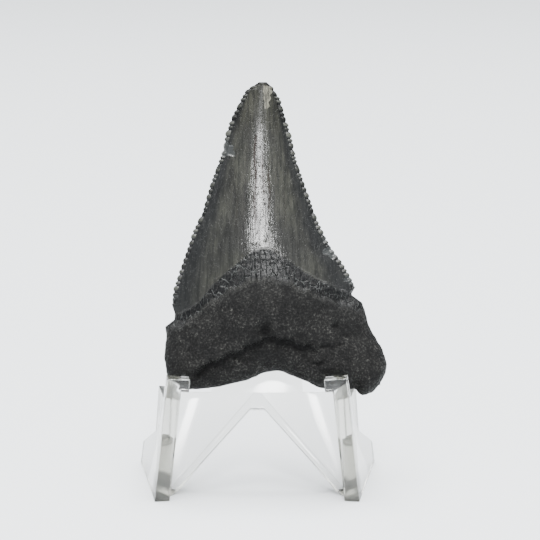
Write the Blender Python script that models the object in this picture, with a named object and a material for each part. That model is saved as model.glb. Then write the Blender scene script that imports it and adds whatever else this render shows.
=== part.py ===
"""A fossil megalodon tooth resting in a small clear acrylic stand.

Metres, +Z up, +Y away from the viewer, origin on the floor under the middle of the whole.
Driving dimensions are in millimetres and are turned into metres by MM.
"""
import math

import bmesh
import bpy
from mathutils import Matrix, Vector

MM = 0.001

# Stand, in millimetres
PLATE = 2.5                # thickness of a side plate
WEB = 2.4                  # thickness of the leaning web
FRONT_X = 15.9             # middle of a side plate at its front foot
SPREAD = 8.5               # degrees that a side plate turns outwards towards the back
LEAN_IN = 7.0              # degrees that a side plate leans inwards towards the top
DEPTH = 24.0               # front foot to back foot
HEEL = 3.2                 # height of the blunt back end
BACK_RISE = 9.6            # height at which the back leg leaves the web
LEDGE = 16.8               # height of the ledge that the root rests on
HOOK_TOP = 20.8            # height of the hooks
HOOK = 2.6                 # front to back size of a hook
HOOK_BACK = 1.8            # how far the front edge runs back on its way up
LIP = 3.8                  # width of the lip at the top of a hook
LIP_LOW = 18.8             # height of the lip's lower side
WEB_FOOT = 4.0             # front face of the web at the floor, behind the front foot
WEB_LEAN = 21.0            # degrees that the web leans back
SHOULDER = 16.3            # height of the web beside the tab
WEB_TOP = 30.0             # height of the tab behind the tooth
TAB_HALF = 7.75            # half width of that tab
TAB_TAPER = 0.6            # how far each side of the tab runs in towards its top
PEAK = 13.6                # height of the peak of the V cut
PEAK_HALF = 1.25           # half width of the flat at the peak
V_HALF = 14.3              # half width of the V cut at the floor
RIB = 1.8                  # width of the rib along the V cut
RIB_CORNER = 0.4           # share of the rib's width and of the peak's flat left at its corners
RIB_FOOT = 0.2             # share of the rib's height at the corners by its feet
RIB_PROUD = 0.7            # how far the rib stands in front of the web
RIB_BACK = 0.2             # how far the rib stands behind the web
INSET = 0.6                # how far the web's own edge lies inside the rib
BURY = 1.0                 # how far joined shapes run into each other
MERGE = 0.01               # points closer than this are one
INTO_WEB = 0.6             # share of the web's thickness that the side plates run into

# Tooth, in millimetres
TOOTH_LENGTH = 54.8        # length of the tooth, to which the drawing below is scaled
TOOTH_WIDTH = 38.2         # width of the tooth
TOOTH_X = 1.2              # the tooth sits this far to the right of the stand's middle
GAP = 0.3                  # clearance between the tooth and the stand

# Drawing of the tooth in its own plane, 51.9 mm long: X to the right, Z up from the root's lowest point
REST_POINT = 0.9           # height of the lobes' undersides where they rest on the ledges
BACK_ROOT = 2.5            # thickness of the root behind its outline
BACK_CROWN = 1.0           # thickness of the crown behind its outline
CROWN_TIP = 0.8            # height of the crown's ridge at the tip
CROWN_BASE = 4.0           # height of the crown's ridge at the bourlette
CROWN_LOW = 24.0           # where the ridge meets the bourlette
SHARP_SHARE = 0.3          # share of the crown's height that comes from its sharp ridge
CROWN_ROUND = 2.2          # power of the crown's rounded form across
CROWN_SHARP = 1.4          # power of the crown's sharp ridge across
TIP = 51.9                 # length of the drawing
THIN = 0.12                # least height of the faces inside the edge
ROOT_HEIGHT = 4.2          # height of the root in front of its outline, at the lobes
ROOT_BULGE = 1.8           # extra height in the middle of the root
BULGE_AT = 13.0            # height of the bulge's middle
BULGE_HALF = 7.0           # half width of the bulge
BULGE_RISE = 6.5           # half length of the bulge
ROOT_FULL = 3.5            # power of the root's rounded form across
ROOT_ROUND = 3.6           # rounding of the root's lower edge
BOURLETTE_STEP = 0.45      # height of the bourlette between crown (0) and root (1)
CROWN_STEP = 1.2           # length of the step from crown to bourlette
ROOT_STEP = 2.2            # length of the step from bourlette to root
CREVICE = 1.5              # how far the root steps back under the fold
FOLD_STEP = 0.9            # length of that step
FOLD_FADE = 3.0            # length over which the fold runs out at its ends
PIT = 1.0                  # depth of the small hole over the fold
PIT_SPREAD = 1.5           # width of that hole, squared
BACK_ROUND = 2.5           # power of the back's rounded form across the crown
BACK_FULL = 4.0            # power of the back's rounded form across the root
BACK_TIP = 12.0            # length over which the back thins out under the tip
BACK_LOW = 17.5            # where the root ends on the back, in the middle
BACK_CURVE = 0.012         # how fast that line rises to the sides
BACK_STEP = 6.0            # length of the step from crown to root on the back
SERRATIONS = 40            # saw teeth along each edge of the crown
SAW = 0.2                  # how far a saw tooth stands out
COLUMNS = 22               # mesh columns across the tooth
ROOT_ROWS = 13             # mesh rows in the root
ROOT_SHARE = 0.3           # share of the height parameter that belongs to the root
ROOT_EASE = 1.6            # power that crowds the root's rows towards its lower edge

# Outlines of the tooth: each runs from the lobe's lower corner to the shoulder, then to the tip
LEFT_ROOT = [(-15.8, 1.8), (-16.5, 3.9), (-16.8, 6.6), (-16.5, 11.4), (-15.0, 12.5), (-14.9, 13.5),
             (-15.4, 15.0)]
LEFT_CROWN = [(-15.4, 15.0), (-15.0, 17.3), (-13.5, 22.0), (-11.6, 27.3), (-10.3, 30.0), (-8.9, 34.8),
              (-7.0, 39.8), (-6.3, 43.1), (-5.3, 46.0), (-3.0, 50.3), (-0.9, 51.7)]
RIGHT_ROOT = [(19.3, 1.8), (20.3, 3.7), (20.6, 5.3), (19.9, 7.7), (17.7, 11.4), (17.2, 13.3), (16.3, 15.3),
              (14.5, 16.6), (15.2, 17.8)]
RIGHT_CROWN = [(15.2, 17.8), (12.9, 21.8), (10.9, 24.5), (9.1, 28.0), (7.6, 32.1), (5.3, 38.6), (4.6, 41.9),
               (3.7, 45.0), (2.6, 48.7), (1.2, 51.0), (0.4, 51.7)]
UNDERSIDE = [(-15.8, 1.8), (-14.2, 1.0), (-11.1, 1.0), (-7.3, 1.4), (-3.0, 2.4), (0.1, 3.7), (1.2, 3.95),
             (2.8, 3.9), (6.0, 2.7), (9.2, 1.2), (12.0, 1.0), (15.0, 1.1), (15.6, 0.3), (16.2, 0.0),
             (17.0, 0.1), (18.3, 0.8), (19.3, 1.8)]

# Lines across the front of the tooth, as height over X
CROWN_LINE = [(-14.6, 13.5), (-11.0, 14.8), (-8.7, 18.0), (-3.3, 22.3), (-0.4, 24.2), (3.0, 22.6),
              (7.6, 19.4), (14.5, 16.7)]
BOURLETTE_LINE = [(-14.2, 11.4), (-8.9, 15.4), (-3.0, 18.6), (0.1, 19.1), (3.6, 18.6), (6.5, 17.2),
                  (14.5, 14.6)]
FOLD_LINE = [(-13.0, 3.2), (-8.4, 5.3), (-3.0, 7.4), (0.7, 9.3), (3.6, 8.7), (6.0, 7.9), (10.0, 7.4)]
FOLD_ENDS = (-12.5, 9.5)
PIT_AT = (0.4, 11.6)

ACRYLIC = (0.92, 0.95, 0.95)
FOSSIL = (0.045, 0.046, 0.044)


def clear_scene():
    for item in list(bpy.data.objects):
        bpy.data.objects.remove(item, do_unlink=True)


def new_collection(name):
    collection = bpy.data.collections.new(name)
    bpy.context.scene.collection.children.link(collection)
    return collection


def material(name, colour, roughness, transmission=0.0):
    finish = bpy.data.materials.new(name)
    finish.use_nodes = True
    shader = finish.node_tree.nodes["Principled BSDF"]
    shader.inputs["Base Color"].default_value = (*colour, 1.0)
    shader.inputs["Roughness"].default_value = roughness
    shader.inputs["Metallic"].default_value = 0.0
    shader.inputs["Transmission Weight"].default_value = transmission
    shader.inputs["IOR"].default_value = 1.49
    return finish


def smoothstep(value):
    value = min(max(value, 0.0), 1.0)
    return value * value * (3.0 - 2.0 * value)


def height_on(line, x):
    """Height of a line across the tooth at x, straight between its points and level past its ends."""
    if x <= line[0][0]:
        return line[0][1]
    for (x0, z0), (x1, z1) in zip(line, line[1:]):
        if x <= x1:
            return z0 + (z1 - z0) * (x - x0) / (x1 - x0)
    return line[-1][1]


def along(points, share):
    """Point at a share of a polyline's length."""
    lengths = [math.dist(a, b) for a, b in zip(points, points[1:])]
    left = share * sum(lengths)
    for (a, b), length in zip(zip(points, points[1:]), lengths):
        if left <= length:
            t = left / length
            return Vector((a[0] + (b[0] - a[0]) * t, a[1] + (b[1] - a[1]) * t))
        left -= length
    return Vector(points[-1])


def outline_object(name, points, thickness, collection):
    """Flat outline in the XY plane of a 2D curve, filled and given a thickness, as a mesh object."""
    curve = bpy.data.curves.new(name, "CURVE")
    curve.dimensions = "2D"
    curve.fill_mode = "BOTH"
    curve.extrude = thickness * MM / 2
    spline = curve.splines.new("POLY")
    spline.points.add(len(points) - 1)
    for point, (x, y) in zip(spline.points, points):
        point.co = (x * MM, y * MM, 0.0, 1.0)
    spline.use_cyclic_u = True
    flat = bpy.data.objects.new(name + "_outline", curve)
    collection.objects.link(flat)
    mesh = bpy.data.meshes.new_from_object(flat.evaluated_get(bpy.context.evaluated_depsgraph_get()))
    bpy.data.objects.remove(flat, do_unlink=True)
    shape = bmesh.new()
    shape.from_mesh(mesh)
    bmesh.ops.remove_doubles(shape, verts=shape.verts, dist=MERGE * MM)
    bmesh.ops.dissolve_limit(shape, angle_limit=math.radians(1), verts=shape.verts, edges=shape.edges)
    bmesh.ops.recalc_face_normals(shape, faces=shape.faces)
    shape.to_mesh(mesh)
    shape.free()
    solid = bpy.data.objects.new(name, mesh)
    collection.objects.link(solid)
    return solid


def web_front(height):
    """How far back the web's front face is at a height."""
    return WEB_FOOT + height * math.tan(math.radians(WEB_LEAN))


def front_edge(height):
    """How far back a side plate's front edge is at a height."""
    return HOOK_BACK * (height + BURY) / (HOOK_TOP + BURY)


def plate_outline():
    """Side plate seen from the side: first number back, second number up."""
    into_web = INTO_WEB * WEB / math.cos(math.radians(WEB_LEAN))
    return [
        (0.0, -BURY),
        (DEPTH, -BURY),
        (DEPTH, HEEL),
        (web_front(BACK_RISE) + into_web, BACK_RISE),
        (web_front(LEDGE) + into_web, LEDGE),
        (HOOK_BACK + HOOK, LEDGE),
        (HOOK_BACK + HOOK, HOOK_TOP),
        (HOOK_BACK, HOOK_TOP),
    ]


def lip_outline():
    """Lip of a hook seen from the side, flush with the plate's hook."""
    back = HOOK_BACK + HOOK
    return [(front_edge(LIP_LOW), LIP_LOW), (back, LIP_LOW), (back, HOOK_TOP), (HOOK_BACK, HOOK_TOP)]


def side_plate(name, side, outline, thickness, collection):
    """One side plate, or its lip, stood up, spread towards the back and leant in towards the top."""
    plate = outline_object(name, outline, thickness, collection)
    inwards = Matrix.Translation((0.0, 0.0, -side * (thickness - PLATE) / 2 * MM))
    stand_up = Matrix(((0, 0, 1, 0), (1, 0, 0, 0), (0, 1, 0, 0), (0, 0, 0, 1)))
    spread = Matrix.Rotation(math.radians(-side * SPREAD), 4, "Z")
    lean = Matrix.Rotation(math.radians(-side * LEAN_IN), 4, "Y")
    place = Matrix.Translation((side * FRONT_X * MM, 0.0, 0.0))
    plate.data.transform(place @ lean @ spread @ stand_up @ inwards)
    return plate


def slope(height):
    """Length up the leaning web that reaches a height."""
    return height / math.cos(math.radians(WEB_LEAN))


def web_outline():
    """Web seen square on: X across, second number up its slope."""
    foot = FRONT_X + PLATE / 2 - BURY
    shoulder = FRONT_X - SHOULDER * math.tan(math.radians(LEAN_IN)) + BURY
    tilted = slope(SHOULDER)
    return [
        (-foot, -slope(BURY)), (-V_HALF - INSET, -slope(BURY)), (-PEAK_HALF, slope(PEAK + INSET)),
        (PEAK_HALF, slope(PEAK + INSET)), (V_HALF + INSET, -slope(BURY)), (foot, -slope(BURY)),
        (shoulder, tilted), (TAB_HALF, tilted), (TAB_HALF - TAB_TAPER, slope(WEB_TOP)),
        (TAB_TAPER - TAB_HALF, slope(WEB_TOP)), (-TAB_HALF, tilted), (-shoulder, tilted),
    ]


def rib_outline():
    """V shaped rib along the cut of the web."""
    rise = RIB / math.cos(math.atan2(slope(PEAK), V_HALF - PEAK_HALF))
    corner = V_HALF + RIB * RIB_CORNER
    return [
        (-V_HALF, -slope(BURY)), (-V_HALF, 0.0), (-PEAK_HALF, slope(PEAK)), (PEAK_HALF, slope(PEAK)),
        (V_HALF, 0.0), (V_HALF, -slope(BURY)), (V_HALF + RIB, -slope(BURY)), (corner, rise * RIB_FOOT),
        (PEAK_HALF * RIB_CORNER, slope(PEAK) + rise), (-PEAK_HALF * RIB_CORNER, slope(PEAK) + rise),
        (-corner, rise * RIB_FOOT), (-V_HALF - RIB, -slope(BURY)),
    ]


def lean_back(shape, thickness, proud):
    """Stands a flat outline up on the web's slope, its front face proud of the web's by that much."""
    middle = Matrix.Translation((0.0, 0.0, -(thickness / 2 - proud) * MM))
    stand_up = Matrix.Rotation(math.radians(90.0 - WEB_LEAN), 4, "X")
    place = Matrix.Translation((0.0, WEB_FOOT * MM, 0.0))
    shape.data.transform(place @ stand_up @ middle)


def add_boolean(target, operand, operation):
    modifier = target.modifiers.new(operand.name, "BOOLEAN")
    modifier.operation = operation
    modifier.solver = "EXACT"
    modifier.object = operand
    operand.hide_render = True
    operand.display_type = "WIRE"


def build_stand(parts, cutters):
    stand = outline_object("stand", web_outline(), WEB, parts)
    lean_back(stand, WEB, 0.0)
    thickness = RIB_PROUD + WEB + RIB_BACK
    rib = outline_object("rib", rib_outline(), thickness, cutters)
    lean_back(rib, thickness, RIB_PROUD)
    add_boolean(stand, rib, "UNION")
    for name, side in (("left", -1), ("right", 1)):
        plate = side_plate(name + "_plate", side, plate_outline(), PLATE, cutters)
        lip = side_plate(name + "_lip", side, lip_outline(), LIP, cutters)
        add_boolean(stand, plate, "UNION")
        add_boolean(stand, lip, "UNION")
    floor = bpy.data.meshes.new("floor_cut")
    shape = bmesh.new()
    size = Matrix.Diagonal((3 * DEPTH * MM, 3 * DEPTH * MM, 4 * BURY * MM, 1.0))
    place = Matrix.Translation((0.0, DEPTH * MM / 2, -2 * BURY * MM))
    bmesh.ops.create_cube(shape, size=1.0, matrix=place @ size)
    shape.to_mesh(floor)
    shape.free()
    cutter = bpy.data.objects.new("floor_cut", floor)
    cutters.objects.link(cutter)
    add_boolean(stand, cutter, "DIFFERENCE")
    stand.data.materials.append(material("clear_acrylic", ACRYLIC, 0.03, 1.0))
    return stand


def saw_tooth(row):
    """How far an edge point stands out: rows go out and in by turns along the crown."""
    return SAW if row % 2 else -SAW / 2


def outline_point(row, rows, side):
    """Edge of the tooth at a row, on one side, with its saw teeth."""
    root, crown = (LEFT_ROOT, LEFT_CROWN) if side < 0 else (RIGHT_ROOT, RIGHT_CROWN)
    if row <= ROOT_ROWS:
        return along(root, (row / ROOT_ROWS) ** ROOT_EASE)
    point = along(crown, (row - ROOT_ROWS) / (rows - ROOT_ROWS))
    out = saw_tooth(row) if row < rows - 1 else 0.0
    return point + Vector((side * out, 0.0))


def height_share(row, rows):
    if row <= ROOT_ROWS:
        return ROOT_SHARE * (row / ROOT_ROWS) ** ROOT_EASE
    return ROOT_SHARE + (1.0 - ROOT_SHARE) * (row - ROOT_ROWS) / (rows - ROOT_ROWS)


def plane_point(across, row, rows):
    """Point in the tooth's plane: across runs from -1 at the left edge to 1 at the right edge."""
    left = outline_point(row, rows, -1)
    right = outline_point(row, rows, 1)
    share = (across + 1.0) / 2.0
    straight = left.lerp(right, share)
    low_left, low_right = Vector(UNDERSIDE[0]), Vector(UNDERSIDE[-1])
    arch = along(UNDERSIDE, share) - low_left.lerp(low_right, share)
    return straight + arch * (1.0 - height_share(row, rows)) ** 2


def front_height(x, z, across, above):
    """Height of the front over the tooth's plane."""
    edge = abs(across)
    ridge = CROWN_TIP + (CROWN_BASE - CROWN_TIP) * (TIP - z) / (TIP - CROWN_LOW)
    rounded = (1.0 - SHARP_SHARE) * (1.0 - edge ** CROWN_ROUND)
    sharp = SHARP_SHARE * (1.0 - edge) ** CROWN_SHARP
    crown = min(ridge, CROWN_BASE) * (rounded + sharp)
    bulge = ROOT_BULGE * math.exp(-(x / BULGE_HALF) ** 2 - ((z - BULGE_AT) / BULGE_RISE) ** 2)
    fold = smoothstep((height_on(FOLD_LINE, x) - z) / FOLD_STEP)
    fold *= smoothstep((x - FOLD_ENDS[0]) / FOLD_FADE) * smoothstep((FOLD_ENDS[1] - x) / FOLD_FADE)
    pit = PIT * math.exp(-((x - PIT_AT[0]) ** 2 + (z - PIT_AT[1]) ** 2) / PIT_SPREAD)
    root = (ROOT_HEIGHT + bulge - CREVICE * fold - pit) * math.sqrt(max(1.0 - edge ** ROOT_FULL, 0.0))
    root = max(root, crown)
    in_bourlette = smoothstep((height_on(CROWN_LINE, x) - z) / CROWN_STEP)
    in_root = smoothstep((height_on(BOURLETTE_LINE, x) - z) / ROOT_STEP)
    share = in_bourlette * BOURLETTE_STEP + in_root * (1.0 - BOURLETTE_STEP)
    return (crown + (root - crown) * share) * round_off(above)


def back_height(x, z, across, above):
    """Depth of the back behind the tooth's plane."""
    edge = abs(across)
    crown = BACK_CROWN * (1.0 - edge ** BACK_ROUND) * min((TIP - z) / BACK_TIP, 1.0)
    root = BACK_ROOT * math.sqrt(max(1.0 - edge ** BACK_FULL, 0.0))
    share = smoothstep((BACK_LOW + BACK_CURVE * x * x - z) / BACK_STEP)
    return (crown + (root - crown) * share) * round_off(above)


def round_off(above):
    """Share of the full height at a distance above the root's lower edge."""
    inside = 1.0 - min(above / ROOT_ROUND, 1.0)
    return math.sqrt(max(1.0 - inside * inside, 0.0))


def tooth_sheet(shape, side, rows):
    """One face of the tooth, from a grid whose points are moved to their places."""
    sheet = bmesh.ops.create_grid(shape, x_segments=COLUMNS, y_segments=rows, size=1.0)["verts"]
    for vert in sheet:
        column = round((vert.co.x + 1.0) / 2.0 * COLUMNS)
        row = round((vert.co.y + 1.0) / 2.0 * rows)
        across = -math.cos(math.pi * column / COLUMNS)
        point = plane_point(across, row, rows)
        above = (point - along(UNDERSIDE, (across + 1.0) / 2.0)).length
        border = column in (0, COLUMNS) or row in (0, rows)
        height = front_height if side < 0 else back_height
        away = 0.0 if border else max(height(point.x, point.y, across, above), THIN)
        vert.co = Vector((point.x, side * away, point.y)) * MM
    return sheet


def build_tooth(parts):
    rows = ROOT_ROWS + 2 * SERRATIONS
    mesh = bpy.data.meshes.new("tooth")
    shape = bmesh.new()
    for side in (-1, 1):
        tooth_sheet(shape, side, rows)
    bmesh.ops.remove_doubles(shape, verts=shape.verts, dist=MERGE * MM)
    bmesh.ops.recalc_face_normals(shape, faces=shape.faces)
    bmesh.ops.triangulate(shape, faces=shape.faces)
    size = TOOTH_LENGTH / TIP
    wide = TOOTH_WIDTH / (max(RIGHT_ROOT)[0] - min(LEFT_ROOT)[0])
    upright = math.cos(math.radians(WEB_LEAN))
    lean = Matrix.Rotation(math.radians(-WEB_LEAN), 4, "X")
    low = LEDGE + GAP - REST_POINT * size * upright
    back = web_front(low) - (BACK_ROOT * size + GAP) / upright
    place = Matrix.Translation((TOOTH_X * MM, back * MM, low * MM))
    shape.transform(place @ lean @ Matrix.Diagonal((wide, size, size, 1.0)))
    shape.to_mesh(mesh)
    shape.free()
    mesh.shade_smooth()
    mesh.materials.append(material("black_fossil", FOSSIL, 0.5))
    tooth = bpy.data.objects.new("tooth", mesh)
    parts.objects.link(tooth)
    return tooth


def centre_on_floor(parts, everything):
    """Moves the whole, by a parent empty, so that its origin is under the middle of its box."""
    bpy.context.view_layer.update()
    depsgraph = bpy.context.evaluated_depsgraph_get()
    corners = []
    for item in parts:
        solid = item.evaluated_get(depsgraph)
        corners += [solid.matrix_world @ vert.co for vert in solid.data.vertices]
    middle = [(min(c[i] for c in corners) + max(c[i] for c in corners)) / 2 for i in (0, 1)]
    centre = bpy.data.objects.new("centre", None)
    centre.location = (-middle[0], -middle[1], 0.0)
    bpy.context.scene.collection.objects.link(centre)
    for item in everything:
        item.parent = centre
    bpy.context.view_layer.update()


def main():
    clear_scene()
    parts = new_collection("megalodon_tooth")
    cutters = new_collection("cutters")
    solids = [build_stand(parts, cutters), build_tooth(parts)]
    centre_on_floor(solids, solids + list(cutters.objects))


main()
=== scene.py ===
"""Looks of a fossil megalodon tooth on its small clear stand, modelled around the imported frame."""
import math

import bmesh
import bpy
import numpy as np
from mathutils import Matrix, Vector, noise


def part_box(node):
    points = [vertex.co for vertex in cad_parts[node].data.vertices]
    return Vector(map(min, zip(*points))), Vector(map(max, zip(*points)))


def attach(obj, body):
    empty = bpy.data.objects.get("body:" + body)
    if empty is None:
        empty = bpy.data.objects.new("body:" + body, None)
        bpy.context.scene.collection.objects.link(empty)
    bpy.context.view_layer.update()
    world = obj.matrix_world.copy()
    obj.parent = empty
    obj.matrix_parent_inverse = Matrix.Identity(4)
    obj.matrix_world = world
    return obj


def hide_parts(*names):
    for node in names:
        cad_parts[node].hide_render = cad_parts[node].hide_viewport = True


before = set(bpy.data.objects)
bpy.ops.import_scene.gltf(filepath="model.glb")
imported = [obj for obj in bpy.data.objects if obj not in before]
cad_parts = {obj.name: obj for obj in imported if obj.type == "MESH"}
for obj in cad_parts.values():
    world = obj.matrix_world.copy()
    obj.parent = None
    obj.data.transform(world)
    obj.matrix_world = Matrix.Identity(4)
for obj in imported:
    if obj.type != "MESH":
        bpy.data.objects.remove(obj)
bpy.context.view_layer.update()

bl_info = {
    "name": "Fossil tooth on a clear stand",
    "version": (1, 0, 0),
    "blender": (4, 5, 0),
    "location": "3D View > Sidebar > Fossil",
    "description": "Models a serrated fossil tooth, its moulded stand and a plain stage",
    "category": "Add Mesh",
}

MM = 0.001
LEAN = math.radians(21.0)

# Real length and width of the tooth, and those of the outlines, which are stretched to them, in millimetres
TOOTH_LENGTH = 54.8
TOOTH_WIDTH = 38.2
TIP = 51.9
OUTLINE_WIDTH = 37.4
SIZE = TOOTH_LENGTH / TIP
WIDE = TOOTH_WIDTH / OUTLINE_WIDTH

# Outlines of the tooth in its own plane, in millimetres: X to the right, Z up from the root's lowest point
LEFT_ROOT = [(-15.8, 1.8), (-16.5, 3.9), (-16.8, 6.6), (-16.5, 11.4), (-15.0, 12.5), (-14.9, 13.5),
             (-15.4, 15.0)]
LEFT_CROWN = [(-15.4, 15.0), (-15.0, 17.3), (-13.5, 22.0), (-11.6, 27.3), (-10.3, 30.0), (-8.9, 34.8),
              (-7.0, 39.8), (-6.3, 43.1), (-5.3, 46.0), (-3.0, 50.3), (-0.9, 51.7)]
RIGHT_ROOT = [(19.3, 1.8), (20.3, 3.7), (20.6, 5.3), (19.9, 7.7), (17.7, 11.4), (17.2, 13.3), (16.3, 15.3),
              (14.5, 16.6), (15.2, 17.8)]
RIGHT_CROWN = [(15.2, 17.8), (12.9, 21.8), (10.9, 24.5), (9.1, 28.0), (7.6, 32.1), (5.3, 38.6), (4.6, 41.9),
               (3.7, 45.0), (2.6, 48.7), (1.2, 51.0), (0.4, 51.7)]
UNDERSIDE = [(-15.8, 1.8), (-14.2, 1.0), (-11.1, 1.0), (-7.3, 1.4), (-3.0, 2.4), (0.1, 3.7), (1.2, 3.95),
             (2.8, 3.9), (6.0, 2.7), (9.2, 1.2), (12.0, 1.0), (15.0, 1.1), (15.6, 0.3), (16.2, 0.0),
             (17.0, 0.1), (18.3, 0.8), (19.3, 1.8)]

# Lines across the faces of the tooth, as height over X, and how they are rounded and wander
CROWN_LINE = [(-14.6, 13.5), (-11.0, 14.8), (-8.7, 18.0), (-3.3, 22.3), (-0.4, 24.2), (3.0, 22.6),
              (7.6, 19.4), (14.5, 16.7)]
BOURLETTE_LINE = [(-14.2, 11.4), (-8.9, 15.4), (-3.0, 18.6), (0.1, 19.1), (3.6, 18.6), (6.5, 17.2),
                  (14.5, 14.6)]
FOLD_LINE = [(-13.0, 3.2), (-8.4, 5.3), (-3.0, 7.4), (0.7, 9.3), (3.6, 8.7), (6.0, 7.9), (10.0, 7.4)]
BACK_LINE = [(-15.0, 14.0), (-8.0, 16.6), (0.0, 18.4), (8.0, 17.2), (15.0, 15.0)]
CORNER_STEPS = (-1.4, -0.7, 0.0, 0.7, 1.4)
LINE_WAVES = ((0.22, 1.9, 0.0), (0.14, 4.3, 1.0))
CROWN_LINE_WANDER = 0.25

# How the grid's rows are shared between the root and the crown, and how the root's lower edge is rounded
ROOT_SHARE = 0.3
ROOT_EASE = 1.6
ROOT_ROUND = 3.6

# Crown of the front face: heights in millimetres, and a round form with a soft peak down its middle
CROWN_LOW = 24.0
CROWN_TIP = 0.8
CROWN_BASE = 4.0
RIDGE_BEND = 0.006
ROUND_SHARE = 0.72
ROUND_POWER = 2.6
PEAK_SHARE = 0.28
PEAK_SLOPE = 1.22
PEAK_POWER = 1.3
PEAK_SOFT = 0.05

# Root of the front face: its swelling, and the step that the bourlette makes in it
ROOT_HEIGHT = 4.2
ROOT_SIDE = 3.5
ROOT_BULGE = 1.8
BULGE_AT = 13.0
BULGE_WIDE = 7.0
BULGE_TALL = 6.5
BOURLETTE_STEP = 0.45
BAND_SOFT = 0.5
ROOT_SOFT = 1.2

# Fold across the root with a groove along it, and the hollow over its peak
FOLD_ENDS = (-12.5, 9.5)
FOLD_FADE = 3.0
FOLD_DEPTH = 1.5
FOLD_SOFT = 0.7
GROOVE_AT = 0.5
GROOVE_WIDE = 0.36
GROOVE_DEPTH = 1.1
PIT_AT = (0.4, 10.1)
PIT_SPREAD = (1.3, 2.2)
PIT_WAVE = (0.3, 2.0)
# Share of the pit painted as shade into the root's colour
PIT_SHADE = 0.7

# Small crevices in the root: X and Z of both ends, and strength
CREVICES = [(7.5, 7.3, 14.0, 7.9, 0.6), (6.4, 5.3, 10.6, 4.8, 0.8), (11.4, 11.6, 12.6, 10.4, 0.7),
            (-9.0, 3.3, -3.6, 5.0, 0.6), (12.2, 9.3, 15.4, 9.8, 0.5), (-14.2, 10.2, -11.0, 10.9, 0.5)]
CREVICE_WAVES = ((0.16, 2.3, 0.7), (0.10, 5.1, 0.0))
CREVICE_WIDE = 0.24
CREVICE_FADE = 4.0
CREVICE_DEPTH = 0.5
# Share of a crevice painted as shade into the root's colour
CREVICE_SHADE = 0.9

# Back face: nearly flat, with the crown thinning to the tip and a low step under the root's edge
BACK_CROWN = 1.0
BACK_CROWN_SIDE = 2.5
BACK_TIP_FADE = 12.0
BACK_ROOT = 2.5
BACK_ROOT_SIDE = 4
BACK_SWELL_AT = 17.5
BACK_SWELL_CURVE = 0.012
BACK_SWELL_SOFT = 6.0
BACK_LINE_SOFT = 0.5
BACK_STEP = 0.2
BACK_STEP_SIDE = 6
BACK_STEP_FROM = 10.0
BACK_LEAST = 0.05

# Saw teeth: how they wander and wear, how they fade at both ends, and the beaded rim that they form
SAW_WANDER = 0.7
SAW_WANDER_STEP = 0.55
SAW_WANDER_SEED = 8.0
SAW_KEPT = 0.7
SAW_WEAR = 0.5
SAW_WEAR_STEP = 1.7
SAW_WEAR_SEED = 3.0
SAW_LEAST = 0.35
SAW_ROUND = 0.7
SAW_SAMPLES = 2001
SAW_FADE = 30.0
RIGHT_SAW_START = 0.13
SAW_SWING = 1.5
SAW_EDGE = 40
RIM_REACH = 0.75
RIM_SOFT = 0.25
RIM_THIN = 0.6
BEAD_HEIGHT = 0.34
BEAD_FADE = 12.0
LEAST_HEIGHT = 0.07

# Flakes broken from the edges: X, Z, radius and depth in millimetres
CHIPS = [(12.1, 24.3, 1.9, 0.7), (14.4, 19.0, 0.9, 0.4), (10.9, 26.6, 1.3, 0.6), (9.4, 30.6, 0.9, 0.3),
         (-6.7, 40.4, 1.5, 0.5), (6.9, 36.4, 0.9, 0.3), (-15.2, 16.0, 0.7, 0.25), (-8.9, 35.6, 0.8, 0.3)]
CHIP_WAVES = ((0.24, 3.0), (0.15, 7.0))
CHIP_OVER_ROOT = 16.0
CHIP_ON_BACK = 0.3
CHIP_SHOWN = 0.3
NEVER_ZERO = 0.001

# Thin cracks up the crown: X, lowest and highest Z, and strength
CRACKS = [(-1.5, 26.5, 43.5, 1.0), (-0.2, 31.0, 40.5, 0.7), (0.8, 28.0, 38.0, 0.6), (-4.6, 25.0, 33.0, 0.35),
          (3.4, 26.0, 35.0, 0.35)]
CRACK_WAVE = (0.12, 0.8)
CRACK_WIDE = 0.19
CRACK_FADE = 2.0

# Worn patch under the tip: lowest and highest Z, left and right X, then how ragged and how soft it is
TIP_PATCH = (46.6, 51.2, -0.4, 1.6)
PATCH_WAVE = (0.15, 5.0)
PATCH_SLANT = 0.2
PATCH_LEFT = 0.5
PATCH_LOW_SOFT = 0.5
PATCH_HIGH_SOFT = 0.8
PATCH_SIDE_SOFT = 0.3

# Where the crown's polish is lost, and where its ridge is pitted
ROOT_DULL = 4.0
BAND_DULL = 0.9
RIM_DULL = 0.7
CRACK_DULL = 0.9
TIP_DULL = 0.85
PATCH_DULL = 0.8
DULL_FROM = 41.0
DULL_OVER = 5.0
PITTED_TO = 0.4
PITTED_SOFT = 0.25

# Pressed grain: size and shift of the coarse, middle and fine lumps, then how much of each is used
GRAINS = ((0.45, (0.0, 0.0, 0.0)), (1.3, (7.0, 0.0, 0.0)), (1.9, (0.0, 9.0, 0.0)))
GRAIN_SHARES = (0.45, 0.4, 0.35)
STREAK_STEPS = (2.6, 0.12)
CROWN_GRAIN = 0.05
BAND_GRAIN = 0.25

# Noises of the fossil's finish: repeats for a millimetre along each axis, detail and roughness
NOISES = {
    "streak": ((1.6, 1.6, 0.10), 5.0, 0.65),
    "fine_streak": ((3.2, 3.2, 0.22), 4.0, 0.7),
    "pits": ((2.6, 2.6, 1.5), 2.0, 0.6),
    "cloud": ((0.18, 0.18, 0.10), 3.0, 0.5),
    "grain": ((3.0, 3.0, 3.0), 4.0, 0.75),
    "patch": ((0.35, 0.35, 0.35), 4.0, 0.6),
    "glint": ((1.3, 1.3, 1.3), 3.0, 0.8),
}
CRAZE_SCALE = (1.1, 1.1, 0.5)
MARKS = ("root", "band", "fold", "across", "chip", "tip", "saw", "crack", "pitted", "polish")

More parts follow.
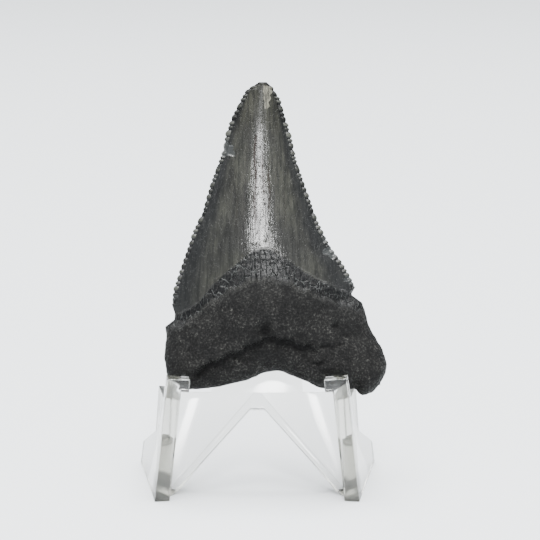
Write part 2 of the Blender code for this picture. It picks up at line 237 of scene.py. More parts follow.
# Layers of colour, laid one over another: what steers a layer, where it starts and is full, share, colour
CROWN_LAYERS = [
    ("cloud", 0.35, 0.65, 0.7, (0.007, 0.007, 0.0065)),
    # painted shade: the crown's colour darkens towards its edges, where its faces turn away from the light
    ("across", 0.62, 0.86, 0.8, (0.003, 0.0034, 0.0038)),
    ("saw", 0.0, 0.8, 0.9, (0.062, 0.064, 0.054)),
    # painted shade in the notches between the saw teeth; the layer above makes the worn tips of the teeth
    # paler
    ("saw", 0.0, -0.6, 0.95, (0.002, 0.002, 0.002)),
    ("chip", 0.2, 1.0, 0.6, (0.040, 0.043, 0.043)),
    ("crack", 0.15, 0.7, 0.95, (0.010, 0.005, 0.0035)),
]
ROOT_LAYERS = [
    ("glint", 0.62, 0.72, 0.8, (0.09, 0.088, 0.08)),
    ("patch", 0.40, 0.62, 0.8, (0.003, 0.003, 0.003)),
    # painted shade: the fold's groove, the pit and the crevices darkened nearly to black
    ("fold", 0.25, 0.6, 0.97, (0.001, 0.001, 0.001)),
]
TIP_PALE = (0.15, 0.145, 0.115)
TIP_DARK = (0.05, 0.049, 0.04)
GLAZE_DARK = (0.003, 0.0033, 0.0036)
GLAZE_PALE = (0.06, 0.063, 0.061)

# Ramps of the fossil's finish: from and to of what is read, and where it matters from and to of the result
STREAKS_SHOW = (0.35, 0.7)
TIP_STREAKS = (0.42, 0.6)
TIP_SHOWS = (0.1, 0.5, 0.0, 0.9)
SPECKS_SHOW = (0.5, 0.72)
CRAZE_LINES = (0.06, 0.015)
CRAZE_BREAKS = (0.42, 0.6, 0.1, 1.0)
GLAZE_SPECKS = (0.5, 0.7, 0.0, 0.6)
CROWN_ROUGHNESS = (0.3, 0.75, 0.3, 0.5)
ROOT_ROUGHNESS = (0.4, 0.66, 0.85, 0.45)
COAT_POCKS = (0.37, 0.43, 0.1, 1.0)
COAT_STREAKS = (0.3, 0.65, 0.45, 1.0)
PIT_RELIEF = (0.34, 0.46, 0.0, 0.2)
CRAZE_RELIEF = (0.0, 0.08)
STREAK_RELIEF = 0.14

# Set values of the finishes
FOSSIL_SPECULAR = 0.15
FOSSIL_IOR = 1.5
COAT_ROUGHNESS = 0.16
COAT_IOR = 1.55
RELIEF_BUMP = (0.8, 0.0003)
COAT_BUMP = (0.35, 0.0001)
ACRYLIC_IOR = 1.49
ACRYLIC_DENSITY = 470.0
FLOOR_ROUGHNESS = 0.6
FLOOR_SPECULAR = 0.2
ROOM_COLOUR = (0.92, 0.96, 1.0)

# Sockets of a Mix node for each kind of value: both inputs, then the result
MIX_SOCKETS = {"RGBA": (6, 7, 2), "FLOAT": (2, 3, 0)}

# Making of the meshes
TOOTH_MERGE = 0.000002
STAND_MERGE = 0.00001
FLAT_ANGLE = math.radians(1.0)
BEVEL_ANGLE = math.radians(25.0)
BEVEL_SEGMENTS = 2
SMOOTH_ANGLE = math.radians(35.0)

# Stage, in metres: each light's place, target and size, the floor just under the feet, and the camera
CEILING_LIGHT = ((0.0, 0.1, 1.2), (0.0, 0.1, 0.0), (1.2, 1.2))
FRONT_LIGHT = ((0.03, -0.40, 0.40), (0.0, 0.0, 0.04), (0.085, 0.12))
FLOOR_DROP = 0.05 * MM
HALF_IMAGE = 270.0
CLIP_START = 0.01


class ToothSettings(bpy.types.PropertyGroup):
    columns: bpy.props.IntProperty(
        name="Columns", description="Mesh columns across one face of the tooth", default=128, min=20)
    root_rows: bpy.props.IntProperty(
        name="Root rows", description="Mesh rows up the root", default=70, min=10)
    crown_rows: bpy.props.IntProperty(
        name="Crown rows", description="Mesh rows up the crown", default=304, min=40)
    saw_teeth: bpy.props.IntProperty(
        name="Saw teeth", description="Saw teeth along each edge of the crown", default=40, min=8)
    saw_depth: bpy.props.FloatProperty(
        name="Saw depth", description="How far a saw tooth stands out", default=0.00030, unit="LENGTH")
    root_grain: bpy.props.FloatProperty(
        name="Root grain", description="Depth of the root's rough surface", default=0.00042, unit="LENGTH")
    crown_colour: bpy.props.FloatVectorProperty(
        name="Crown colour", description="Polished enamel", subtype="COLOR",
        default=(0.011, 0.0114, 0.0092))
    crown_pale: bpy.props.FloatVectorProperty(
        name="Pale enamel", description="Worn streaks in the enamel", subtype="COLOR",
        default=(0.034, 0.034, 0.026))
    root_colour: bpy.props.FloatVectorProperty(
        name="Root colour", description="Rough root", subtype="COLOR", default=(0.0065, 0.0065, 0.0062))
    root_pale: bpy.props.FloatVectorProperty(
        name="Root specks", description="Pale grains in the root and in the cracked band", subtype="COLOR",
        default=(0.050, 0.049, 0.045))


class StandSettings(bpy.types.PropertyGroup):
    edge: bpy.props.FloatProperty(
        name="Edge", description="Rounding of the moulded edges", default=0.00034, unit="LENGTH")
    tint: bpy.props.FloatVectorProperty(
        name="Tint", description="Colour that light takes on inside the acrylic", subtype="COLOR",
        default=(0.90, 0.899, 0.885))
    roughness: bpy.props.FloatProperty(
        name="Roughness", description="Roughness of the clear faces", default=0.12, subtype="FACTOR")


class StageSettings(bpy.types.PropertyGroup):
    floor: bpy.props.FloatProperty(
        name="Floor", description="Half width of the pale floor", default=3.0, unit="LENGTH")
    floor_colour: bpy.props.FloatVectorProperty(
        name="Floor colour", description="Pale floor", subtype="COLOR", default=(0.80, 0.83, 0.85))
    distance: bpy.props.FloatProperty(
        name="Camera distance", description="Camera to the tooth", default=0.400, unit="LENGTH")
    elevation: bpy.props.FloatProperty(
        name="Camera elevation", description="How far the camera looks down", default=math.radians(12.0),
        subtype="ANGLE")
    room: bpy.props.FloatProperty(name="Room light", description="Even light from all around", default=0.7)
    ceiling: bpy.props.FloatProperty(
        name="Ceiling light", description="Watts of the wide light over the floor", default=62.0)
    front: bpy.props.FloatProperty(
        name="Front light", description="Watts of the small light over the camera", default=2.6)
    aim: bpy.props.FloatVectorProperty(
        name="Aim", description="Camera's target from the stand's middle, its front and the floor",
        default=(0.00217, 0.0060, 0.03845))
    pixels_per_metre: bpy.props.FloatProperty(
        name="Scale", description="Image pixels for a metre at the tooth", default=6000.0)


def settings():
    scene = bpy.context.scene
    return scene.tooth_settings, scene.stand_settings, scene.stage_settings


def deselect_all():
    if bpy.context.object and bpy.context.object.mode != "OBJECT":
        bpy.ops.object.mode_set(mode="OBJECT")
    bpy.ops.object.select_all(action="DESELECT")


def select_only(piece):
    deselect_all()
    piece.select_set(True)
    bpy.context.view_layer.objects.active = piece


def smoothstep(value):
    value = np.clip(value, 0.0, 1.0)
    return value * value * (3.0 - 2.0 * value)


def waves(value, table):
    """Sum of sine waves, each given as its height, its steps for a unit and its start."""
    return sum(height * np.sin(steps * value + start) for height, steps, start in table)


def along(points, share):
    """Points at shares of a polyline's length, as two arrays."""
    xs, zs = np.array(points).T
    length = np.concatenate([[0.0], np.cumsum(np.hypot(np.diff(xs), np.diff(zs)))])
    return np.interp(share, length / length[-1], xs), np.interp(share, length / length[-1], zs)


def height_on(line, x, wander=1.0):
    """Height of a line across the tooth, with its corners rounded and a slight wander."""
    xs, zs = np.array(line).T
    rounded = sum(np.interp(x + step, xs, zs) for step in CORNER_STEPS) / len(CORNER_STEPS)
    return rounded + wander * waves(x, LINE_WAVES)


def saw(share, teeth, start):
    """Rounded saw teeth with narrow notches: 0 in a notch and 1 on a tooth, some of them worn."""
    phase = share * teeth + start
    shift = [noise.noise(Vector((p * SAW_WANDER_STEP, start, SAW_WANDER_SEED))) for p in phase]
    phase = phase + SAW_WANDER * np.array(shift)
    spots = [Vector((math.floor(p) * SAW_WEAR_STEP, start, SAW_WEAR_SEED)) for p in phase]
    kept = np.array([SAW_KEPT + SAW_WEAR * noise.noise(spot) for spot in spots])
    return np.abs(np.sin(np.pi * phase)) ** SAW_ROUND * np.clip(kept, SAW_LEAST, 1.0)


def tooth_place():
    """Where the tooth's plane starts, from the frame's box of the tooth."""
    low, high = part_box("tooth")
    reach = RIGHT_CROWN[-1][1] * SIZE * MM
    middle = (max(RIGHT_ROOT)[0] + min(LEFT_ROOT)[0]) / 2 * WIDE * MM
    place_y = high.y - reach * math.sin(LEAN)
    return Vector(((low.x + high.x) / 2 - middle, place_y, high.z - reach * math.cos(LEAN)))


def face_grid(name, columns, rows):
    deselect_all()
    bpy.ops.mesh.primitive_grid_add(x_subdivisions=columns, y_subdivisions=rows, size=2.0)
    sheet = bpy.context.object
    sheet.name = name
    return sheet


def read_points(mesh):
    points = np.zeros(len(mesh.vertices) * 3)
    mesh.vertices.foreach_get("co", points)
    return points.reshape(-1, 3)


def plane_points(column, row, look):
    """Places in the tooth's plane for grid numbers, and what the shapes need to know of each place.

    Gives X and Z, how far across (-1 to 1), the distance over the underside and from the nearer edge,
    how much of a saw tooth is there (0 to 1) and how far up the crown (0 to 1).
    """
    across = -np.cos(np.pi * column / look.columns)
    in_crown = row > look.root_rows
    root_share = (np.minimum(row, look.root_rows) / look.root_rows) ** ROOT_EASE
    crown_share = np.clip((row - look.root_rows) / look.crown_rows, 0.0, 1.0)
    samples = np.linspace(0.0, 1.0, SAW_SAMPLES)
    fade = smoothstep(crown_share * SAW_FADE) * smoothstep((1.0 - crown_share) * SAW_FADE)
    edges = []
    saws = []
    for root, crown, start in ((LEFT_ROOT, LEFT_CROWN, 0.0), (RIGHT_ROOT, RIGHT_CROWN, RIGHT_SAW_START)):
        root_x, root_z = along(root, root_share)
        crown_x, crown_z = along(crown, crown_share)
        edges.append((np.where(in_crown, crown_x, root_x), np.where(in_crown, crown_z, root_z)))
        saws.append(np.interp(crown_share, samples, saw(samples, look.saw_teeth, start)) * fade)
    share = (across + 1.0) / 2.0
    x = edges[0][0] * (1.0 - share) + edges[1][0] * share
    z = edges[0][1] * (1.0 - share) + edges[1][1] * share
    height_share = np.where(in_crown, ROOT_SHARE + (1.0 - ROOT_SHARE) * crown_share,
                            ROOT_SHARE * root_share)
    low_x, low_z = along(UNDERSIDE, share)
    (left_x, left_z), (right_x, right_z) = UNDERSIDE[0], UNDERSIDE[-1]
    arch = (1.0 - height_share) ** 2
    x = x + (low_x - left_x * (1.0 - share) - right_x * share) * arch
    z = z + (low_z - left_z * (1.0 - share) - right_z * share) * arch
    depth = look.saw_depth / MM
    nearest_saw = np.where(across < 0, saws[0], saws[1])
    near_left = np.clip(-across, 0.0, 1.0) ** SAW_EDGE
    near_right = np.clip(across, 0.0, 1.0) ** SAW_EDGE
    out = (-depth / 2 + SAW_SWING * depth * nearest_saw) * in_crown
    x = x + out * (near_right - near_left)
    inset = (1.0 - np.abs(across)) * (edges[1][0] - edges[0][0]) / 2
    above = np.hypot(x - low_x, z - low_z)
    return x, z, across, above, inset, nearest_saw * in_crown, crown_share * in_crown


def crevice_lines(x, z):
    """Small crevices in the root, 1 in the deepest and 0 beside them."""
    found = np.zeros_like(x)
    wander = waves(x, CREVICE_WAVES)
    for start_x, start_z, end_x, end_z, strength in CREVICES:
        run = np.array([end_x - start_x, end_z - start_z])
        share = ((x - start_x) * run[0] + (z - start_z) * run[1]) / (run @ run)
        away = z + wander - (start_z + share * run[1])
        ends = smoothstep(share * CREVICE_FADE) * smoothstep((1.0 - share) * CREVICE_FADE)
        found = np.maximum(found, strength * np.exp(-(away / CREVICE_WIDE) ** 2) * ends)
    return found


def round_off(above):
    """Rounds the faces down to the root's lower edge."""
    inside = 1.0 - np.minimum(above / ROOT_ROUND, 1.0)
    return np.sqrt(np.maximum(1.0 - inside * inside, 0.0))


def crown_height(z, edge):
    """Height of the crown's front: a round form with a soft peak, lower towards the tip."""
    up = (z - CROWN_LOW) / (TIP - CROWN_LOW)
    ridge = CROWN_BASE - (CROWN_BASE - CROWN_TIP) * (up + np.sqrt(up * up + RIDGE_BEND)) / 2
    soft = np.sqrt(edge * edge + PEAK_SOFT) - math.sqrt(PEAK_SOFT)
    peak = np.maximum(1.0 - PEAK_SLOPE * soft, 0.0) ** PEAK_POWER
    return ridge * (ROUND_SHARE * (1.0 - edge ** ROUND_POWER) + PEAK_SHARE * peak)


def front_height(x, z, across, above):
    """Height of the front face, then what lies under the crown, what is root and the painted shade of the
    hollows.
    """
    edge = np.abs(across)
    crown = crown_height(z, edge)
    bulge = ROOT_BULGE * np.exp(-(x / BULGE_WIDE) ** 2 - ((z - BULGE_AT) / BULGE_TALL) ** 2)
    under = height_on(FOLD_LINE, x) - z
    left_end, right_end = FOLD_ENDS
    ends = smoothstep((x - left_end) / FOLD_FADE) * smoothstep((right_end - x) / FOLD_FADE)
    groove = np.exp(-((under - GROOVE_AT) / GROOVE_WIDE) ** 2) * ends
    pit_x = x - PIT_AT[0] + PIT_WAVE[0] * np.sin(PIT_WAVE[1] * z)
    pit = np.exp(-pit_x ** 2 / PIT_SPREAD[0] - (z - PIT_AT[1]) ** 2 / PIT_SPREAD[1])
    fold = smoothstep(under / FOLD_SOFT) * ends
    crevice = crevice_lines(x, z)
    root = ROOT_HEIGHT + bulge - FOLD_DEPTH * fold - GROOVE_DEPTH * groove - pit - CREVICE_DEPTH * crevice
    root = root * np.sqrt(np.maximum(1.0 - edge ** ROOT_SIDE, 0.0))
    root = np.maximum(root, crown)
    in_band = smoothstep((height_on(CROWN_LINE, x, CROWN_LINE_WANDER) - z) / BAND_SOFT)
    in_root = smoothstep((height_on(BOURLETTE_LINE, x) - z) / ROOT_SOFT)
    share = in_band * BOURLETTE_STEP + in_root * (1.0 - BOURLETTE_STEP)
    height = (crown + (root - crown) * share) * round_off(above)
    # Painted shade for the hollows: the groove, the pit and the crevices
    hollow_shade = np.maximum(np.maximum(groove, PIT_SHADE * pit), CREVICE_SHADE * crevice)
    return height, in_band, in_root, hollow_shade


def back_height(x, z, across, above):
    """Height of the back face, then what is root there. It has no bourlette and no painted shade in hollows.
    """
    edge = np.abs(across)
    crown = BACK_CROWN * (1.0 - edge ** BACK_CROWN_SIDE) * np.minimum((TIP - z) / BACK_TIP_FADE, 1.0)
    root = BACK_ROOT * np.sqrt(np.maximum(1.0 - edge ** BACK_ROOT_SIDE, 0.0))
    share = smoothstep((BACK_SWELL_AT + BACK_SWELL_CURVE * x * x - z) / BACK_SWELL_SOFT)
    in_root = smoothstep((height_on(BACK_LINE, x) - z) / BACK_LINE_SOFT)
    step = BACK_STEP * (in_root - 1.0) * (1.0 - edge ** BACK_STEP_SIDE) * (z > BACK_STEP_FROM)
    height = np.maximum(crown + (root - crown) * share + step, BACK_LEAST) * round_off(above)
    nowhere = np.zeros_like(x)
    return height, nowhere, in_root, nowhere


def chip_depth(x, z):
    """Depth of the flakes broken from the edges, each with a ragged outline."""
    depth = np.zeros_like(x)
    (first, first_turns), (second, second_turns) = CHIP_WAVES
    for chip_x, chip_z, radius, deep in CHIPS:
        turn = np.arctan2(z - chip_z, x - chip_x)
        ragged = 1.0 + first * np.sin(first_turns * turn + chip_x)
        ragged = ragged + second * np.sin(second_turns * turn + chip_z)
        away = np.hypot(x - chip_x, z - chip_z) / radius * ragged
        depth = np.maximum(depth, deep * np.sqrt(np.maximum(1.0 - away * away, 0.0)))
    return depth


def tip_patch(x, z):
    """Pale patch where the enamel is worn away under the tip."""
    low, high, left, right = TIP_PATCH
    rise = smoothstep((z - low) / PATCH_LOW_SOFT) * smoothstep((high - z) / PATCH_HIGH_SOFT)
    ragged = PATCH_WAVE[0] * np.sin(PATCH_WAVE[1] * z) + PATCH_SLANT * (high - z)
    from_left = smoothstep((x - left - PATCH_LEFT * ragged) / PATCH_SIDE_SOFT)
    return rise * from_left * smoothstep((right - ragged - x) / PATCH_SIDE_SOFT)


def crack_lines(x, z):
    """Thin cracks running up the crown, 1 on a crack and 0 beside it."""
    found = np.zeros_like(x)
    for crack_x, low, high, strength in CRACKS:
        away = (x - crack_x - CRACK_WAVE[0] * np.sin(z * CRACK_WAVE[1] + crack_x)) / CRACK_WIDE
        ends = smoothstep((z - low) / CRACK_FADE) * smoothstep((high - z) / CRACK_FADE)
        found = np.maximum(found, strength * np.exp(-away * away) * ends)
    return found


def store(mesh, name, values):
    layer = mesh.attributes.new(name, "FLOAT", "POINT")
    layer.data.foreach_set("value", np.asarray(values, dtype=np.float32))


def shape_face(sheet, side, look):
    """Moves the points of one grid to their places on the front (-1) or the back (1) of the tooth."""
    rows = look.root_rows + look.crown_rows
    flat = read_points(sheet.data)
    column = np.rint((flat[:, 0] + 1.0) / 2.0 * look.columns)
    row = np.rint((flat[:, 1] + 1.0) / 2.0 * rows)
    x, z, across, above, inset, bead, up = plane_points(column, row, look)
    on_front = side < 0
    heights = front_height if on_front else back_height
    height, band, root, hollow_shade = heights(x, z, across, above)
    rim = smoothstep((RIM_REACH - inset) / RIM_SOFT) * (up > 0.0)
    half_rim = RIM_REACH / 2
    pearl = BEAD_HEIGHT * np.sqrt(np.clip(1.0 - ((inset - half_rim) / half_rim) ** 2, 0.0, 1.0))
    pearl = pearl * np.minimum((1.0 - up) * BEAD_FADE, 1.0)
    height = height * (1.0 - RIM_THIN * rim) + rim * pearl * bead
    border = (column == 0) | (column == look.columns) | (row == 0) | (row == rows)
    chip = chip_depth(x, z) * (1.0 - root * (z > CHIP_OVER_ROOT))
    height = height - chip * height / (chip + height + NEVER_ZERO) * (1.0 if on_front else CHIP_ON_BACK)
    height = np.where(border, 0.0, np.maximum(height, LEAST_HEIGHT))
    points = np.stack([x, side * height, z], axis=1) * MM
    sheet.data.vertices.foreach_set("co", points.ravel())

    crack = crack_lines(x, z) * on_front
    patch = tip_patch(x, z)
    polish = (1.0 - smoothstep(root * ROOT_DULL)) * (1.0 - BAND_DULL * band)
    polish = polish * (1.0 - RIM_DULL * rim) * (1.0 - CRACK_DULL * crack)
    worn = 1.0 - TIP_DULL * smoothstep((z - DULL_FROM) / DULL_OVER)
    marks = {
        "root": root,
        "band": band * (1.0 - root),
        # The fold mark carries the painted shade of the groove, the pit and the crevices
        "fold": hollow_shade,
        # steers the painted shade towards the crown's edges
        "across": np.abs(across),
        "chip": np.clip(chip / CHIP_SHOWN, 0.0, 1.0),
        "tip": patch * on_front,
        # Saw rim: above zero on the worn, paler teeth, below zero in the notches, where painted shade goes
        "saw": rim * (2.0 * bead - 1.0),
        "crack": crack,
        "pitted": smoothstep((PITTED_TO - np.abs(across)) / PITTED_SOFT) * on_front,
        "polish": polish * worn * (1.0 - PATCH_DULL * patch),
    }
    for name in MARKS:
        store(sheet.data, name, marks[name])
    sheet.data.update()


def face_outwards(mesh):
    """Turns all faces round when the mesh is inside out."""
    shape = bmesh.new()
    shape.from_mesh(mesh)
    volume = shape.calc_volume(signed=True)
    shape.free()
    if volume < 0.0:
        mesh.flip_normals()


def grain_amount(point, root, band):
    """How far a point of the surface lies under the smooth form, as a share of the root's grain."""
    spot = Vector(point) / MM
    lumps = [0.5 + 0.5 * noise.noise(spot * scale + Vector(shift)) for scale, shift in GRAINS]
    rough = root * sum(share * lump for share, lump in zip(GRAIN_SHARES, lumps))
    streak = 0.5 + 0.5 * noise.noise(Vector((spot.x * STREAK_STEPS[0], spot.z * STREAK_STEPS[1], 0.0)))
    return rough + (1.0 - root) * (CROWN_GRAIN * streak + band * BAND_GRAIN * lumps[-1])


def press_grain(tooth, look):
    """Sinks the rough root and the streaked crown into the smooth form, along the surface's normals."""
    mesh = tooth.data
    count = len(mesh.vertices)
    root = np.zeros(count, dtype=np.float32)
    band = np.zeros(count, dtype=np.float32)
    normals = np.zeros(count * 3, dtype=np.float32)
    mesh.attributes["root"].data.foreach_get("value", root)
    mesh.attributes["band"].data.foreach_get("value", band)
    mesh.vertices.foreach_get("normal", normals)
    points = read_points(mesh)
    depth = np.array([grain_amount(p, r, b) for p, r, b in zip(points, root, band)])
    points -= normals.reshape(-1, 3) * (depth * look.root_grain)[:, None]
    mesh.vertices.foreach_set("co", points.ravel())
    mesh.update()


def node(tree, kind, **values):
    made = tree.nodes.new(kind)
    for name, value in values.items():
        setattr(made, name, value)
    return made


def feed(tree, socket, value):
    """Gives a socket another node's output, a plain number or a colour."""
    if isinstance(value, bpy.types.NodeSocket):
        tree.links.new(value, socket)
    elif isinstance(value, tuple):
        socket.default_value = (*value, 1.0)
    else:
        socket.default_value = value


def attribute(tree, name):
    return node(tree, "ShaderNodeAttribute", attribute_name=name).outputs["Fac"]


def math_node(tree, operation, first, second):
    made = node(tree, "ShaderNodeMath", operation=operation)
    feed(tree, made.inputs[0], first)
    feed(tree, made.inputs[1], second)
    return made.outputs[0]


def ramp(tree, value, low, high, start=0.0, end=1.0):
    made = node(tree, "ShaderNodeMapRange", interpolation_type="SMOOTHSTEP")
    tree.links.new(value, made.inputs["Value"])
    made.inputs["From Min"].default_value = low
    made.inputs["From Max"].default_value = high
    made.inputs["To Min"].default_value = start
    made.inputs["To Max"].default_value = end
    return made.outputs["Result"]


def mix(tree, amount, first, second, kind="RGBA"):
    made = node(tree, "ShaderNodeMix", data_type=kind)
    first_socket, second_socket, result = MIX_SOCKETS[kind]
    feed(tree, made.inputs[0], amount)
    feed(tree, made.inputs[first_socket], first)
    feed(tree, made.inputs[second_socket], second)
    return made.outputs[result]


def lay_over(tree, colour, layers, values):
    """Lays coloured layers over a colour, each where its noise or mark says."""
    for name, low, high, share, shade in layers:
        colour = mix(tree, ramp(tree, values[name], low, high, 0.0, share), colour, shade)
    return colour


def bump(tree, height, strength, distance):
    made = node(tree, "ShaderNodeBump")
    made.inputs["Strength"].default_value = strength
    made.inputs["Distance"].default_value = distance
    tree.links.new(height, made.inputs["Height"])
    return made.outputs["Normal"]


def tooth_coordinates(tree, scale):
    """Object coordinates turned into the tooth's own plane, in millimetres times a scale."""
    where = node(tree, "ShaderNodeTexCoord")
    turn = node(tree, "ShaderNodeMapping", vector_type="POINT")
    turn.inputs["Rotation"].default_value = (LEAN, 0.0, 0.0)
    turn.inputs["Scale"].default_value = (1.0 / MM, 1.0 / MM, 1.0 / MM)
    tree.links.new(where.outputs["Object"], turn.inputs["Vector"])
    stretch = node(tree, "ShaderNodeVectorMath", operation="MULTIPLY")
    tree.links.new(turn.outputs["Vector"], stretch.inputs[0])
    stretch.inputs[1].default_value = scale
    return stretch.outputs["Vector"]


def noise_value(tree, scale, detail, roughness):
    made = node(tree, "ShaderNodeTexNoise")
    made.inputs["Scale"].default_value = 1.0
    made.inputs["Detail"].default_value = detail
    made.inputs["Roughness"].default_value = roughness
    tree.links.new(tooth_coordinates(tree, scale), made.inputs["Vector"])
    return made.outputs["Fac"]


def craze(tree, scale):
    """Distance to the nearest line of a net of fine cracks."""
    made = node(tree, "ShaderNodeTexVoronoi", feature="DISTANCE_TO_EDGE")
    made.inputs["Scale"].default_value = 1.0
    tree.links.new(tooth_coordinates(tree, scale), made.inputs["Vector"])
    return made.outputs["Distance"]


def new_finish(name):
    finish = bpy.data.materials.new(name)
    finish.use_nodes = True
    return finish, finish.node_tree, finish.node_tree.nodes["Principled BSDF"]


def fossil_colour(tree, look, values, net):
    """Colour of the streaked crown, the rough black root and the cracked glaze of the bourlette, with
    painted shade towards the crown's edges, in the saw's notches and in the root's hollows.
    """
    crown_colours = tuple(look.crown_colour), tuple(look.crown_pale)
    crown = mix(tree, ramp(tree, values["streak"], *STREAKS_SHOW), *crown_colours)
    crown = lay_over(tree, crown, CROWN_LAYERS, values)
    tip_colour = mix(tree, ramp(tree, values["fine_streak"], *TIP_STREAKS), TIP_PALE, TIP_DARK)
    crown = mix(tree, ramp(tree, values["tip"], *TIP_SHOWS), crown, tip_colour)

    root_colours = tuple(look.root_colour), tuple(look.root_pale)
    rough = mix(tree, ramp(tree, values["grain"], *SPECKS_SHOW), *root_colours)
    rough = lay_over(tree, rough, ROOT_LAYERS, values)

    lines = ramp(tree, net, *CRAZE_LINES)
    shown = math_node(tree, "MULTIPLY", lines, ramp(tree, values["pits"], *CRAZE_BREAKS))
    glaze = mix(tree, ramp(tree, values["grain"], *GLAZE_SPECKS), GLAZE_DARK, tuple(look.root_pale))
    glaze = mix(tree, shown, glaze, GLAZE_PALE)
    return mix(tree, values["band"], mix(tree, values["root"], crown, rough), glaze)


def fossil_coat(tree, values):
    """Weight of the polished coat: streaked, and broken by pits down the ridge."""
    whole = math_node(tree, "SUBTRACT", 1.0, values["pitted"])
    pocked = math_node(tree, "MAXIMUM", whole, ramp(tree, values["pits"], *COAT_POCKS))
    streaked = math_node(tree, "MULTIPLY", pocked, ramp(tree, values["streak"], *COAT_STREAKS))
    return math_node(tree, "MULTIPLY", values["polish"], streaked)


def fossil_material(look):
    """One finish for the tooth: streaked polished crown, cracked bourlette and rough black root."""
    finish, tree, shader = new_finish("fossil")
    values = {name: attribute(tree, name) for name in MARKS}
    for name, noise_values in NOISES.items():
        values[name] = noise_value(tree, *noise_values)
    net = craze(tree, CRAZE_SCALE)
    tree.links.new(fossil_colour(tree, look, values, net), shader.inputs["Base Color"])

    shine = ramp(tree, values["fine_streak"], *CROWN_ROUGHNESS)
    rough_shine = ramp(tree, values["grain"], *ROOT_ROUGHNESS)
    roughness = mix(tree, values["root"], shine, rough_shine, "FLOAT")
    tree.links.new(roughness, shader.inputs["Roughness"])
    shader.inputs["Specular IOR Level"].default_value = FOSSIL_SPECULAR
    shader.inputs["IOR"].default_value = FOSSIL_IOR
    tree.links.new(fossil_coat(tree, values), shader.inputs["Coat Weight"])
    shader.inputs["Coat Roughness"].default_value = COAT_ROUGHNESS
    shader.inputs["Coat IOR"].default_value = COAT_IOR

    streaks = math_node(tree, "MULTIPLY", values["fine_streak"], STREAK_RELIEF)
    crown_relief = math_node(tree, "ADD", streaks, ramp(tree, values["pits"], *PIT_RELIEF))
    relief = mix(tree, values["root"], crown_relief, values["grain"], "FLOAT")
    crack_relief = math_node(tree, "MULTIPLY", ramp(tree, net, *CRAZE_RELIEF), values["band"])
    relief_height = math_node(tree, "ADD", relief, crack_relief)
    coat_height = math_node(tree, "ADD", values["fine_streak"], crack_relief)
    tree.links.new(bump(tree, relief_height, *RELIEF_BUMP), shader.inputs["Normal"])
    tree.links.new(bump(tree, coat_height, *COAT_BUMP), shader.inputs["Coat Normal"])
    return finish


def acrylic_material(look):
    """Clear moulded acrylic, faintly tinted where light runs a long way inside it."""
    finish, tree, shader = new_finish("clear_acrylic")
    shader.inputs["Base Color"].default_value = (1.0, 1.0, 1.0, 1.0)
    shader.inputs["Transmission Weight"].default_value = 1.0
    shader.inputs["IOR"].default_value = ACRYLIC_IOR
    shader.inputs["Roughness"].default_value = look.roughness
    inside = node(tree, "ShaderNodeVolumeAbsorption")
    inside.inputs["Color"].default_value = (*look.tint, 1.0)
    inside.inputs["Density"].default_value = ACRYLIC_DENSITY
    tree.links.new(inside.outputs["Volume"], tree.nodes["Material Output"].inputs["Volume"])
    return finish


def floor_material(colour):
    finish, _, shader = new_finish("pale_floor")
    shader.inputs["Base Color"].default_value = (*colour, 1.0)
    shader.inputs["Roughness"].default_value = FLOOR_ROUGHNESS
    shader.inputs["Specular IOR Level"].default_value = FLOOR_SPECULAR
    return finish


class FOSSIL_OT_tooth(bpy.types.Operator):
    """Model the tooth: two grids shaped into its faces, joined along its edges and given its grain"""
    bl_idname = "fossil.tooth"
    bl_label = "Add the tooth"

    def execute(self, context):
        look = settings()[0]
        rows = look.root_rows + look.crown_rows
        front = face_grid("fossil_tooth", look.columns, rows)
        shape_face(front, -1, look)
        back = face_grid("fossil_tooth_back", look.columns, rows)
        shape_face(back, 1, look)
        deselect_all()
        back.select_set(True)
        front.select_set(True)
        context.view_layer.objects.active = front
        bpy.ops.object.join()
        tooth = context.object
        bpy.ops.object.mode_set(mode="EDIT")
        bpy.ops.mesh.select_all(action="SELECT")
        bpy.ops.mesh.remove_doubles(threshold=TOOTH_MERGE)
        bpy.ops.mesh.normals_make_consistent(inside=False)
        bpy.ops.object.mode_set(mode="OBJECT")
        face_outwards(tooth.data)
        press_grain(tooth, look)
        lean = Matrix.Rotation(-LEAN, 4, "X")
        size = Matrix.Diagonal((WIDE, SIZE, SIZE, 1.0))
        tooth.data.transform(Matrix.Translation(tooth_place()) @ lean @ size)
        inside = np.clip(read_points(tooth.data), *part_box("tooth"))
        tooth.data.vertices.foreach_set("co", inside.ravel())
        tooth.data.update()
        bpy.ops.object.shade_smooth()
        tooth.data.materials.clear()
        tooth.data.materials.append(fossil_material(look))
        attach(tooth, "root")
        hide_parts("tooth")
        return {"FINISHED"}


class FOSSIL_OT_stand(bpy.types.Operator):
    """Model the clear stand: the frame's solid, its flat faces made whole and its edges rounded"""
    bl_idname = "fossil.stand"
    bl_label = "Add the stand"

    def execute(self, context):
        look = settings()[1]
        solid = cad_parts["stand"]
        stand = bpy.data.objects.new("moulded_stand", solid.data.copy())
        context.scene.collection.objects.link(stand)
        select_only(stand)
        bpy.ops.object.mode_set(mode="EDIT")
        bpy.ops.mesh.select_all(action="SELECT")
        bpy.ops.mesh.remove_doubles(threshold=STAND_MERGE)
        bpy.ops.mesh.dissolve_limited(angle_limit=FLAT_ANGLE)
        bpy.ops.object.mode_set(mode="OBJECT")
        bevel = stand.modifiers.new("rounded_edges", "BEVEL")
        bevel.width = look.edge
        bevel.segments = BEVEL_SEGMENTS
        bevel.limit_method = "ANGLE"
        bevel.angle_limit = BEVEL_ANGLE
        bpy.ops.object.modifier_apply(modifier=bevel.name)
        bpy.ops.object.shade_smooth_by_angle(angle=SMOOTH_ANGLE)
        stand.data.materials.clear()
        stand.data.materials.append(acrylic_material(look))
        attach(stand, "root")
        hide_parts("stand")
        return {"FINISHED"}


def aim(item, target):
    item.rotation_euler = (Vector(target) - item.location).to_track_quat("-Z", "Y").to_euler()


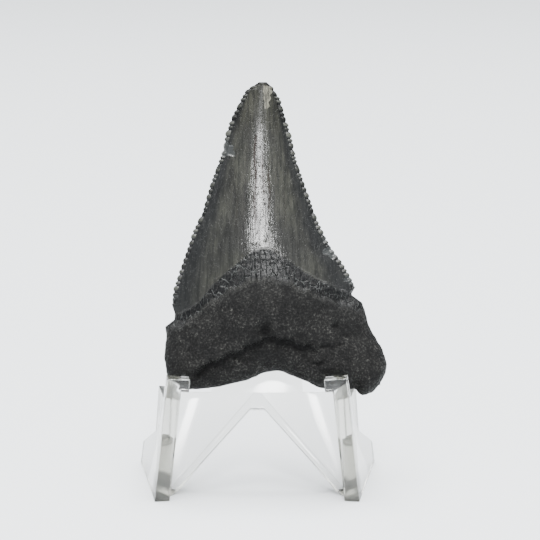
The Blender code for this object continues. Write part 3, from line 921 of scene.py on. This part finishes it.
def add_light(name, place, target, size, power):
    deselect_all()
    bpy.ops.object.light_add(type="AREA", location=place)
    lamp = bpy.context.object
    lamp.name = name
    lamp.data.shape = "RECTANGLE"
    lamp.data.size, lamp.data.size_y = size
    lamp.data.energy = power
    aim(lamp, target)


class FOSSIL_OT_stage(bpy.types.Operator):
    """Set the plain pale floor, the soft lights and the camera"""
    bl_idname = "fossil.stage"
    bl_label = "Add the stage"

    def execute(self, context):
        look = settings()[2]
        deselect_all()
        bpy.ops.mesh.primitive_plane_add(size=2.0 * look.floor, location=(0.0, 0.0, -FLOOR_DROP))
        floor = context.object
        floor.name = "floor"
        floor.data.materials.append(floor_material(look.floor_colour))

        world = bpy.data.worlds.new("soft_room")
        world.use_nodes = True
        world.node_tree.nodes["Background"].inputs["Color"].default_value = (*ROOM_COLOUR, 1.0)
        world.node_tree.nodes["Background"].inputs["Strength"].default_value = look.room
        context.scene.world = world

        add_light("ceiling_softbox", *CEILING_LIGHT, look.ceiling)
        add_light("front_softbox", *FRONT_LIGHT, look.front)

        low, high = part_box("stand")
        target = Vector(((low.x + high.x) / 2 + look.aim[0], low.y + look.aim[1], look.aim[2]))
        back = Vector((0.0, -math.cos(look.elevation), math.sin(look.elevation)))
        bpy.ops.object.camera_add(location=target + back * look.distance)
        camera = context.object
        aim(camera, target)
        camera.data.sensor_fit = "AUTO"
        camera.data.lens_unit = "FOV"
        camera.data.angle = 2.0 * math.atan(HALF_IMAGE / (look.pixels_per_metre * look.distance))
        camera.data.clip_start = CLIP_START
        context.scene.camera = camera
        return {"FINISHED"}


class FOSSIL_PT_sidebar(bpy.types.Panel):
    bl_label = "Fossil tooth"
    bl_idname = "FOSSIL_PT_sidebar"
    bl_space_type = "VIEW_3D"
    bl_region_type = "UI"
    bl_category = "Fossil"

    def draw(self, context):
        for group, operator in (("stage_settings", "fossil.stage"), ("stand_settings", "fossil.stand"),
                                ("tooth_settings", "fossil.tooth")):
            box = self.layout.box()
            box.operator(operator)
            values = getattr(context.scene, group)
            for name in values.__annotations__:
                box.prop(values, name)


CLASSES = (ToothSettings, StandSettings, StageSettings, FOSSIL_OT_tooth, FOSSIL_OT_stand, FOSSIL_OT_stage,
           FOSSIL_PT_sidebar)


def register():
    for item in CLASSES:
        bpy.utils.register_class(item)
    bpy.types.Scene.tooth_settings = bpy.props.PointerProperty(type=ToothSettings)
    bpy.types.Scene.stand_settings = bpy.props.PointerProperty(type=StandSettings)
    bpy.types.Scene.stage_settings = bpy.props.PointerProperty(type=StageSettings)


def unregister():
    del bpy.types.Scene.tooth_settings
    del bpy.types.Scene.stand_settings
    del bpy.types.Scene.stage_settings
    for item in reversed(CLASSES):
        bpy.utils.unregister_class(item)


def main():
    register()
    bpy.ops.fossil.stage()
    bpy.ops.fossil.stand()
    bpy.ops.fossil.tooth()


if __name__ == "__main__":
    main()
